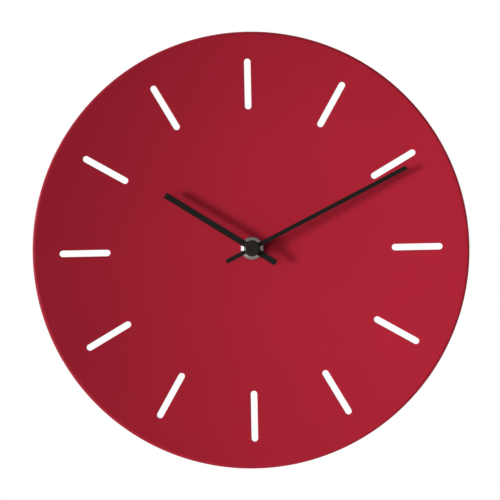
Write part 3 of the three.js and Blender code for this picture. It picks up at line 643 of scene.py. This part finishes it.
def dial_dish():
    near, far = SLOT_ZONE
    skin = Skin()
    inner = [2.2, 1, 0.35, 0.1]
    hole = [DIAL_HOLE + gap for gap in inner]
    radii = spread(SEAT_RADIUS, near, 22)
    front = [ring_on_bowl(r, 0, RING_STEPS) for r in reversed(radii)]
    front += [ring_on_bowl(r, 0, RING_STEPS) for r in hole]
    front += [ring_on_bowl(DIAL_HOLE, drop, RING_STEPS) for drop in (0.1, SHEET - 0.1)]
    back = [ring_on_bowl(r, SHEET, RING_STEPS) for r in reversed(hole)]
    back += [ring_on_bowl(r, SHEET, RING_STEPS) for r in radii]
    skin.wrap(front + back)

    bowl = spread(far, BOWL_EDGE - 0.3, 7)
    outer = [ring_on_bowl(r, 0, RING_STEPS) for r in bowl]
    for radius, depth in lip_path():
        ring = []
        for i in range(RING_STEPS):
            angle = TAU * i / RING_STEPS
            x = DIAL_CENTRE[0] + radius * math.cos(angle)
            z = DIAL_CENTRE[1] + radius * math.sin(angle)
            ring.append((x, depth, z))
        outer.append(ring)
    outer += [ring_on_bowl(r, SHEET, RING_STEPS) for r in reversed(bowl)]
    skin.wrap(outer)

    walls, around = mark_rings(12, RING_STEPS // MARK_COUNT)
    shares = [0, 0.12, 0.25, 0.4, 0.55, 0.7, 0.83, 0.93]
    for hour in range(MARK_COUNT):
        turn = TAU * hour / MARK_COUNT
        cosine, sine = math.cos(turn), math.sin(turn)

        def placed(flat, drop):
            return [bowl_point(x * cosine - z * sine, x * sine + z * cosine, drop) for x, z in flat]

        def shifted(distance):
            return [(x + distance * wx, z + distance * wz) for x, z, wx, wz in walls]

        def blended(share, distance):
            pairs = zip(around, shifted(distance))
            return [(a[0] + (b[0] - a[0]) * share, a[1] + (b[1] - a[1]) * share) for a, b in pairs]

        loops = [placed(blended(share, FRONT_ROUND + 0.6), 0) for share in shares]
        loops.append(placed(shifted(FRONT_ROUND + 0.6), 0))
        loops.append(placed(shifted(FRONT_ROUND + 0.12), 0))
        for i in range(6):
            angle = math.pi / 2 * i / 5
            offset = FRONT_ROUND * (1 - math.sin(angle))
            loops.append(placed(shifted(offset), FRONT_ROUND * (1 - math.cos(angle))))
        for i in range(4):
            angle = math.pi / 2 * (1 - i / 3)
            offset = BACK_ROUND * (1 - math.sin(angle))
            loops.append(placed(shifted(offset), SHEET - BACK_ROUND * (1 - math.cos(angle))))
        loops.append(placed(shifted(BACK_ROUND + 0.1), SHEET))
        loops.append(placed(shifted(FRONT_ROUND + 0.6), SHEET))
        loops += [placed(blended(share, FRONT_ROUND + 0.6), SHEET) for share in reversed(shares)]
        skin.wrap(loops)
    dish = skin.object("dial_bowl", crease=70)
    settle_normals(dish)
    return dish


piece(dial_dish(), "clock_body", "dial_paint", ["dial_dish"], dial_paint)


# ---------------------------------------------------------------- Nut, washers and bush


def knurled_nut():
    knurls = 44

    def knurl(radius, depth, angle):
        if radius < NUT_RADIUS - 0.15:
            return radius
        wave = abs((knurls * angle / TAU) % 1 - 0.5) * 2
        return radius - 0.17 * wave

    bore = BUSH_RADIUS + 0.06
    back = WASHER_FRONT
    profile = rounded(
        [
            (bore, back + 0.05),
            (NUT_RADIUS - 0.3, back + 0.05, 0.1),
            (NUT_RADIUS, back + 0.35, 0.1),
            (NUT_RADIUS, NUT_FRONT - 1.0, 0.25),
            (4.6, NUT_FRONT, 0.3),
            (bore + 0.35, NUT_FRONT, 0.06),
            (bore, NUT_FRONT - 0.35),
        ],
        closed=False,
        steps=4,
    )
    nut = lathe("knurled_nut", profile, knurls * 6, closed=True, reshape=knurl)
    settle_normals(nut)
    return nut


def flat_ring(name, inner, outer, back, front, edge, steps=96):
    profile = rounded(
        [(inner, back, edge), (outer, back, edge), (outer, front, edge), (inner, front, edge)],
        steps=3,
    )
    ring = lathe(name, profile, steps, closed=True)
    settle_normals(ring)
    return ring


def threaded_bush():
    pitch = 0.75
    thread = 0.22

    def screw(radius, depth, angle):
        if radius < BUSH_RADIUS - 0.05 or depth < CASE_DEPTH + 0.4:
            return radius
        fade = min(1, (depth - CASE_DEPTH - 0.4) / pitch, max(0, BUSH_FRONT - 0.25 - depth) / 0.3)
        turn = (depth / pitch - angle / TAU) % 1
        return radius - thread * fade * (1 - abs(2 * turn - 1)) ** 0.8

    flange_back = CASE_INSIDE - 0.6
    profile = [(BUSH_BORE, flange_back), (5.85, flange_back), (6, flange_back + 0.15)]
    profile += [(6, CASE_INSIDE - 0.05), (BUSH_RADIUS, CASE_INSIDE)]
    steps = 104
    for i in range(steps + 1):
        profile.append((BUSH_RADIUS, CASE_INSIDE + (BUSH_FRONT - 0.2 - CASE_INSIDE) * i / steps))
    profile += [(BUSH_RADIUS - 0.25, BUSH_FRONT), (BUSH_BORE + 0.15, BUSH_FRONT)]
    profile += [(BUSH_BORE, BUSH_FRONT - 0.15)]
    return lathe("bush_with_thread", profile, 96, closed=True, reshape=screw, crease=55)


piece(knurled_nut(), "clock_body", "nickel_plate", ["round_nut"], nickel)
piece(
    flat_ring("nut_washer", BUSH_RADIUS + 0.2, 6.7, SEAT_FRONT, WASHER_FRONT, 0.12),
    "clock_body",
    "nickel_plate",
    ["dial_washer"],
    washer_steel,
)
piece(
    flat_ring("rubber_pad", BUSH_RADIUS + 0.3, 8, 17.3, 18.0, 0.2),
    "clock_body",
    "rubber",
    ["rubber_washer"],
    rubber,
)
piece(threaded_bush(), "clock_body", "brass", ["threaded_bush"], brass)


# ---------------------------------------------------------------- Hands


def hand(name, tip, tail, width, boss, bore, depth, collar, phase):
    """A stamped baton along +X, its boss, and a collar that grips its tube behind."""
    half = width / 2
    meet = math.sqrt(boss**2 - half**2)
    open_angle = math.asin(half / boss)
    corner = 0.22
    blade_right = rounded(
        [(meet, -half), (tip, -half, corner), (tip, half, corner), (meet, half)], closed=False
    )
    blade_left = rounded(
        [(-meet, half), (-tail, half, corner), (-tail, -half, corner), (-meet, -half)], closed=False
    )
    top = arc((0, 0), boss, open_angle, math.pi - open_angle, 28)[1:-1]
    bottom = arc((0, 0), boss, math.pi + open_angle, TAU - open_angle, 28)[1:-1]
    outline = blade_right + top + blade_left + bottom
    made = prism(name, outline, depth - HAND_SHEET / 2, depth + HAND_SHEET / 2, edge=0.14)
    join(made, disc("neck", bore + 0.6, depth - collar, depth))
    cut(made, disc("bore", bore, depth - collar - 1, depth + 1))
    shade(made, 50)
    settle_normals(made)
    turn = Matrix.Rotation(-phase, 4, "Y")
    made.data.transform(turn)
    return made


hour_hand = hand("hour_baton", 59.2, 16.3, 3.5, 4.3, 3.0, HOUR_DEPTH, 1.6, HOUR_ANGLE)
minute_hand = hand("minute_baton", 101, 16.9, 2.5, 3.9, 2.0, MINUTE_DEPTH, 0.4, MINUTE_ANGLE)
piece(hour_hand, "hour_wheel", "hand_paint", ["hour_hand"], hand_paint)
piece(minute_hand, "minute_arbor", "hand_paint", ["minute_hand"], hand_paint)


def hand_cap():
    """A closed cap with a flat face and a rounded front edge."""
    back = MINUTE_DEPTH + HAND_SHEET / 2
    top = back + 2.6
    radius, edge, bore = 4.75, 1.3, 2.0
    profile = [(0, top), (1.5, top), (2.9, top)]
    for angle in spread(90, 8, 12):
        turn = math.radians(angle)
        profile.append((radius - edge * (1 - math.cos(turn)), top - edge * (1 - math.sin(turn))))
    profile += [(radius, back + 0.15), (radius - 0.1, back), (bore + 0.1, back)]
    profile += [(bore, back + 0.1), (bore, back + 1.5), (0, back + 1.5)]
    cap = lathe("hand_cap", profile, 72, crease=65)
    settle_normals(cap)
    return cap


piece(hand_cap(), "minute_arbor", "hand_paint", ["minute_hand_cap"], cap_paint)


# ---------------------------------------------------------------- Wall hanger


def wall_hanger():
    """A bent strip: flat behind the dial, back over the case, then up near the wall."""
    sheet = 0.8
    width = 20
    front = CASE_DEPTH + sheet / 2
    foot, step, top, back = -9.5, 29.9, 47, 1.6
    path = rounded(
        [(foot, front), (step, front, 1.3), (step, back, 1.3), (top, back)], closed=False, steps=8
    )
    sides = {1: [], -1: []}
    for i, point in enumerate(path):
        here = Vector(point)
        ahead = Vector(path[min(i + 1, len(path) - 1)])
        behind = Vector(path[max(i - 1, 0)])
        along = (ahead - behind).normalized()
        for sign, line in sides.items():
            line.append(here + Vector((-along.y, along.x)) * sign * sheet / 2)
    outline = sides[1] + list(reversed(sides[-1]))
    skin = Skin()
    rows = skin.wrap([[(x, depth, z) for z, depth in outline] for x in (-width / 2, width / 2)])
    skin.faces.append(tuple(rows[0]))
    skin.faces.append(tuple(rows[1]))
    strip = skin.object("hanger_strip", crease=50)
    keep = prism("keep", box_outline(-width / 2, width / 2, foot, top, 5), -1, CASE_DEPTH + 3)
    combine(strip, "INTERSECT", [keep])
    eye = prism("eye", stadium(12, 6.5, (0, 40)), -1, 5)
    cut(strip, eye, disc("hole", BUSH_RADIUS + 0.3, CASE_DEPTH - 1, CASE_DEPTH + 3))
    soften(strip, 0.14, angle=50)
    return strip


piece(wall_hanger(), "clock_body", "zinc_steel", ["wall_hanger"], zinc_steel)


# ---------------------------------------------------------------- Movement case and rear cover

CASE_CORNER = 3
SNAP_HEIGHTS = (1.5, 15)


def case_outline():
    half = CASE_SIZE / 2
    return box_outline(-half, half, -half, half, CASE_CORNER)


def cross_disc(name, radius, start, end, centre, axis):
    """A short rod along X or Z. Its centre is (across, depth)."""
    steps = 64
    ring = arc(centre, radius, 0, TAU * (1 - 1 / steps), steps - 1)
    skin = Skin()
    if axis == "x":
        rows = skin.wrap([[(place, depth, across) for across, depth in ring] for place in (start, end)])
    else:
        rows = skin.wrap([[(across, depth, place) for across, depth in ring] for place in (start, end)])
    skin.faces.append(tuple(rows[0]))
    skin.faces.append(tuple(rows[1]))
    return skin.object(name)


def movement_case():
    half = CASE_SIZE / 2
    shell = prism("case_shell", case_outline(), 0, CASE_DEPTH, edge=0.5)
    cut(shell, box("step", (-half - 1, half + 1), (BAY_TOP, half + 1), -1, COVER))
    cut(shell, box("chamber", (-INNER, INNER), (BAY_TOP + WALL, INNER), -1, CASE_INSIDE, 1.8))
    cut(shell, box("bay", (-INNER, INNER), (-INNER, BAY_TOP), -1, BAY_FLOOR, 1.0))
    rib_ends = (-INNER - 0.3, BAY_TOP + 0.3)
    cell_axis = (CELL_HEIGHT, CELL_DEPTH)
    for middle in (-14, 14):
        wall = box("rib", (middle - 0.6, middle + 0.6), rib_ends, 10.5, BAY_FLOOR + 0.3)
        hollow = cross_disc("cell", CELL_RADIUS + 0.35, middle - 2, middle + 2, cell_axis, "x")
        cut(wall, hollow)
        join(shell, wall)
    cut(shell, cross_disc("thumb", 9, -half - 1, -half + WALL + 1, (0, -3.5), "z"))
    for side in (-1, 1):
        across = sorted((side * (INNER - 1), side * (half + 1)))
        for height in SNAP_HEIGHTS:
            cut(shell, box("window", across, (height - 2.8, height + 2.8), 3.4, 5.4))
        passage = sorted((side * 26.1, side * INNER))
        cut(shell, box("passage", passage, (BAY_TOP - 1, BAY_TOP + WALL + 1), 5, 8.7))
    for x, z in ((-24, -6.2), (24, -6.2), (-24, 24), (24, 24)):
        join(shell, disc("pillar", 1.6, 10.2, CASE_INSIDE + 0.2, (x, z)))
    # A shallow groove round the front and two grip hollows on each side.
    rim = prism("rim", box_outline(-25.5, 25.5, -25.5, 25.5, 2), CASE_DEPTH - 0.35, CASE_DEPTH + 1)
    island = box_outline(-24.7, 24.7, -24.7, 24.7, 1.5)
    cut(rim, prism("island", island, CASE_DEPTH - 2, CASE_DEPTH + 2))
    cut(shell, rim)
    for height in (-20, -16.5, -13):
        for side in (-1, 1):
            across = sorted((side * (half - 0.35), side * (half + 1)))
            cut(shell, box("grip", across, (height - 0.6, height + 0.6), 3, 13.5))
    cut(shell, disc("bush_hole", BUSH_RADIUS + 0.2, CASE_INSIDE - 1, CASE_DEPTH + 1))
    soften(shell, 0.18, angle=50)
    return shell


def curved_arrow(radius, start, end, width):
    """The outline of an arrow along an arc, angles in degrees, its head at the end."""
    start, end = math.radians(start), math.radians(end)
    sign = 1 if end > start else -1
    neck = end - sign * 1.5 / radius
    outer = arc(KNOB_AXIS, radius + width / 2, start, neck, 12)
    inner = arc(KNOB_AXIS, radius - width / 2, neck, start, 12)
    head = [
        (KNOB_AXIS[0] + r * math.cos(a), KNOB_AXIS[1] + r * math.sin(a))
        for r, a in ((radius + width * 1.4, neck), (radius, end), (radius - width * 1.4, neck))
    ]
    outline = outer + head + inner
    return outline if sign > 0 else list(reversed(outline))


def rear_cover():
    half = CASE_SIZE / 2
    lid = prism("rear_lid", case_outline(), 0, COVER, edge=0.25)
    cut(lid, box("below", (-half - 1, half + 1), (-half - 1, BAY_TOP + 0.2), -1, COVER + 1))
    # The lid's middle is sunk a little inside a raised border.
    cut(lid, prism("panel", box_outline(-25.6, 25.6, BAY_TOP + 2.4, 25.6, 2), -1, 0.25))
    cut(lid, disc("knob_hole", KNOB_RADIUS + 0.4, -1, COVER + 1, KNOB_AXIS, 64))
    for outline in (curved_arrow(7.6, 200, 255, 0.7), curved_arrow(7.6, 20, 75, 0.7)):
        cut(lid, prism("arrow", outline, -1, 0.5))
    for x, z in ((-21, 21.5), (21, 21.5), (-21, -3.5), (21, -3.5)):
        cut(lid, disc("pin_mark", 1.6, -1, 0.38, (x, z)))
    for i in range(7):
        x = -19 + 2.6 * i
        cut(lid, prism("flute", stadium(12, 1.1, (x, 8), math.pi / 2), -1, 0.6))
    for side in (-1, 1):
        for height in SNAP_HEIGHTS:
            low, high = height - 2.5, height + 2.5
            join(lid, box("leg", sorted((side * 25.7, side * 26.5)), (low, high), COVER - 0.3, 5.6))
            join(lid, box("hook", sorted((side * 25.7, side * 27.4)), (low, high), 3.6, 5.2))
    soften(lid, 0.12, angle=50)
    return lid


piece(movement_case(), "clock_body", "case_plastic", ["movement_case"], case_plastic)
piece(rear_cover(), "clock_body", "case_plastic", ["rear_cover"], cover_plastic)


# ---------------------------------------------------------------- Setting knob


def setting_knob():
    ridges = 24

    def ridge(radius, depth, angle):
        if radius < KNOB_RADIUS - 0.45:
            return radius
        wave = 0.5 - 0.5 * math.cos(ridges * angle)
        return radius - 0.35 * wave**0.6

    profile = rounded(
        [
            (0, 0.75),
            (3.1, 0.75, 0.2),
            (3.5, 0.3, 0.2),
            (KNOB_RADIUS - 0.25, 0.3, 0.1),
            (KNOB_RADIUS, 0.55, 0.15),
            (KNOB_RADIUS, 1.75, 0.1),
            (KNOB_RADIUS - 0.2, 1.9, 0.05),
            (1.2, 1.9, 0.2),
            (1.2, 14.6, 0.15),
            (0, 14.6),
        ],
        closed=False,
    )
    knob = lathe("knob_grip", profile, ridges * 8, centre=KNOB_AXIS, reshape=ridge)
    slot = prism("slot", stadium(5, 1, KNOB_AXIS, math.radians(30)), 0, 1.15)
    cut(knob, slot)
    shade(knob, 45)
    settle_normals(knob)
    return knob


def gear_outline(teeth, module, centre):
    pitch = teeth * module / 2
    root, tip = pitch - 1.2 * module, pitch + 0.85 * module
    points = []
    for tooth in range(teeth):
        middle = TAU * tooth / teeth
        for radius, width in ((root, -1.45), (tip, -0.5), (tip, 0.5), (root, 1.45)):
            angle = middle + width * module / 2 / radius
            points.append((centre[0] + radius * math.cos(angle), centre[1] + radius * math.sin(angle)))
    return points


piece(setting_knob(), "setting_knob", "case_plastic", ["setting_knob"], knob_plastic)
knob_gear = prism("knob_gear", gear_outline(12, 0.32, KNOB_AXIS), 12.0, 12.8, edge=0.04, steps=1)
cut(knob_gear, disc("shaft", 1.19, 11, 14, KNOB_AXIS))
piece(knob_gear, "setting_knob", "case_plastic", [], knob_plastic)


# ---------------------------------------------------------------- Battery and coil


def battery_cell():
    """An AA cell: a two-coloured sleeve shrunk over the can, rolled over both ends."""
    profile = rounded(
        [
            (0, -23.8),
            (4.9, -23.8, 0.2),
            (5.2, -24.0, 0.1),
            (6.2, -24.1, 0.3),
            (CELL_RADIUS, -24.1, 0.7),
            (CELL_RADIUS, 14.0),
            (CELL_RADIUS, 25.1, 0.7),
            (5.9, 25.1, 0.15),
            (5.7, 24.7, 0.1),
            (3.4, 24.75, 0.2),
            (2.75, 25.0, 0.2),
            (2.75, 26.2, 0.35),
            (0, 26.2),
        ],
        closed=False,
        steps=5,
    )
    cell = lathe("aa_cell", profile, 96)
    lay_along_x(cell, CELL_DEPTH, CELL_HEIGHT)
    for polygon in cell.data.polygons:
        middle = polygon.center
        reach = math.hypot(middle.y / MM + CELL_DEPTH, middle.z / MM - CELL_HEIGHT)
        if reach < 5.85:
            polygon.material_index = 2
        elif middle.x / MM > 14:
            polygon.material_index = 1
    settle_normals(cell)
    return cell


def coil_winding():
    """Side by side turns of fine wire between the bobbin's flanges."""
    half = 7.4
    turns = 46
    profile = [(1.8, -half)]
    for turn in range(turns):
        start = -half + 2 * half * turn / turns
        for share in (0.08, 0.3, 0.5, 0.7, 0.92):
            bulge = math.sqrt(max(0.0, 1 - (2 * share - 1) ** 2))
            profile.append((3.06 + 0.14 * bulge, start + 2 * half / turns * share))
    profile.append((1.8, half))
    winding = lathe("wire_winding", profile, 48, closed=True, crease=80)
    lay_along_x(winding, 5.1, 22.8)
    winding.data.transform(Matrix.Translation(at(-2, 0, 0)))
    return winding


piece(
    battery_cell(),
    "battery",
    "cell_sleeve",
    ["battery_cell"],
    sleeve_dark,
    sleeve_light,
    contact_metal,
)
piece(coil_winding(), "clock_body", "copper_wire", ["coil_winding"], copper)


# ---------------------------------------------------------------- CAD pieces that stay

KEPT = {
    "train_plate": (white_plastic, 0.12),
    "stator": (core_steel, 0.08),
    "coil_core": (core_steel, 0.08),
    "coil_bobbin": (bobbin_plastic, 0.08),
    "circuit_board": (laminate, 0.05),
    "chip_blob": (epoxy, 0),
    "quartz_crystal": (contact_metal, 0),
    "negative_contact": (contact_metal, 0.05),
    "positive_contact": (contact_metal, 0.05),
    "minute_arbor": (brass, 0),
    "centre_wheel": (white_plastic, 0),
    "hour_wheel": (white_plastic, 0),
    "motion_wheel": (blue_plastic, 0),
    "third_wheel": (white_plastic, 0),
    "seconds_wheel": (white_plastic, 0),
    "step_wheel": (white_plastic, 0),
    "rotor_pinion": (white_plastic, 0),
    "rotor_magnet": (ferrite, 0),
}

for name, (material, edge) in KEPT.items():
    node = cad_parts[name]
    node.data.materials.clear()
    node.data.materials.append(material)
    if edge:
        weld = node.modifiers.new("weld", "WELD")
        weld.merge_threshold = 1e-6
        bevel = node.modifiers.new("soft_edges", "BEVEL")
        bevel.width = edge * MM
        bevel.segments = 2
        bevel.limit_method = "ANGLE"
        bevel.angle_limit = math.radians(50)


# ---------------------------------------------------------------- Floor, sky and lights

FLOOR_HEIGHT = -0.3


def floor():
    """A pale round floor, well below the clock, with a slightly rolled edge."""
    skin = Skin()
    radii = [1, 300, 600, 800, 880, 895, 900, 900]
    drops = [0, 0, 0, 0, 0, 1, 4, 12]
    loops = []
    for radius, drop in zip(radii, drops):
        ring = arc((0, 0), radius, 0, TAU * (1 - 1 / 128), 127)
        loops.append([(x, depth, FLOOR_HEIGHT / MM - drop) for x, depth in ring])
    rows = skin.wrap(loops)
    skin.faces.append(tuple(rows[0]))
    made = skin.object("floor")
    pale = Finish("floor_card", (0.8, 0.8, 0.79), 0.7)
    pale.tone(pale.noise(120, 3), (0.77, 0.77, 0.76))
    pale.relief(pale.noise(2, 2), 0.02)
    made.data.materials.append(pale.material)


def sky():
    """A white backdrop to the eye, a pale room in reflections and a dim, even light elsewhere."""
    world = bpy.data.worlds.new("room")
    world.use_nodes = True
    nodes, links = world.node_tree.nodes, world.node_tree.links
    nodes.clear()
    path = nodes.new("ShaderNodeLightPath")

    def background(strength):
        light = nodes.new("ShaderNodeBackground")
        light.inputs["Color"].default_value = (1, 1, 1, 1)
        light.inputs["Strength"].default_value = strength
        return light.outputs["Background"]

    def swap(ray, usual, instead):
        mix = nodes.new("ShaderNodeMixShader")
        links.new(path.outputs[ray], mix.inputs["Fac"])
        links.new(usual, mix.inputs[1])
        links.new(instead, mix.inputs[2])
        return mix.outputs["Shader"]

    unseen = swap("Is Glossy Ray", background(ROOM_LIGHT), background(ROOM_GLOSS))
    output = nodes.new("ShaderNodeOutputWorld")
    links.new(swap("Is Camera Ray", unseen, background(1)), output.inputs["Surface"])
    bpy.context.scene.world = world


def soft_light(name, left, up, distance, size, power, spread_angle=180, aim=(0, 25, 0)):
    """A square softbox that points at the aim point. It stands at a distance from the middle of
    the dial, in a direction given by two angles in degrees: to the left of the dial's normal,
    and above it."""
    data = bpy.data.lights.new(name, "AREA")
    data.shape = "RECTANGLE"
    data.size, data.size_y = size
    data.energy = power
    data.spread = math.radians(spread_angle)
    lamp = bpy.data.objects.new(name, data)
    a, e = math.radians(left), math.radians(up)
    way = Vector((-math.sin(a) * math.cos(e), -math.cos(a) * math.cos(e), math.sin(e)))
    lamp.location = at(0, SEAT_FRONT, 0) + way * distance
    lamp.rotation_mode = "QUATERNION"
    lamp.rotation_quaternion = (lamp.location - at(*aim)).to_track_quat("Z", "Y")
    bpy.context.collection.objects.link(lamp)
    return lamp


ROOM_LIGHT = 0.01
ROOM_GLOSS = 0.28
floor()
sky()
# The key and the fill light the dial's front, and the edge lamp brightens its lip at the upper
# left. The other lamps light the sides and the back.
soft_light("key", 49.3, -5, 1.4, (0.46, 0.46), 0.57, 22.6, aim=(-38, 25, -27))
fill = soft_light("fill", 6, -3, 1.2, (0.6, 0.6), 0.455, 16.6, aim=(300, 25, -90))
fill.visible_glossy = False
for side in (-1, 1):
    soft_light(f"side_{side}", side * 113, 10, 1.3, (0.6, 0.6), 4.2, 150)
soft_light("back", 170, 25, 1.3, (0.6, 0.6), 2.2, 150)
soft_light("edge", 98, 35, 1.2, (0.3, 0.3), 2.5, 150)
soft_light("top", 180, 60, 1.8, (1.2, 1.2), 8, 150)

bpy.context.scene.view_settings.view_transform = "Standard"
